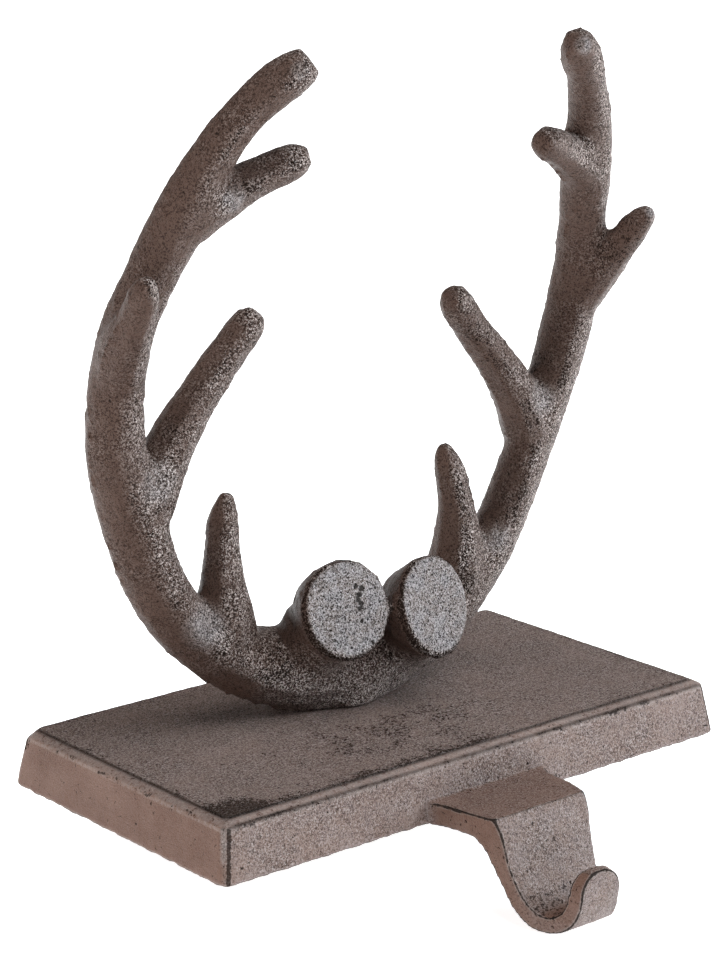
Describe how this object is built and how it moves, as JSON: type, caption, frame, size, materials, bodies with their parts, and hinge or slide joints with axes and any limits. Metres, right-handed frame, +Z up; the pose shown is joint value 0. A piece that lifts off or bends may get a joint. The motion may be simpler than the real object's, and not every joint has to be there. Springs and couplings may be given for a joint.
{
  "type": "mantel stocking holder",
  "caption": "Cast-iron mantel stocking holder: bevelled rectangular base with a curled hook at its front edge, and branching antlers that rise from a bow with sawn-off stubs.",
  "frame": {"origin": "middle of the base's underside, on the plane that lies on the mantel", "axes": "+Z up, -Y towards the room, where the hook hangs down in front of the mantel, and X along the mantel"},
  "size_m": [0.1692, 0.1355, 0.2152],
  "materials": {
    "base_iron": "brown rubbed finish over dark, speckled cast iron",
    "antler_iron": "brown rubbed finish over dark, speckled cast iron",
    "screw_steel": "plain steel"
  },
  "bodies": {
    "root": {"base": "base_iron", "antlers": "antler_iron", "fixing_screw": "screw_steel"}
  },
  "joints": []
}
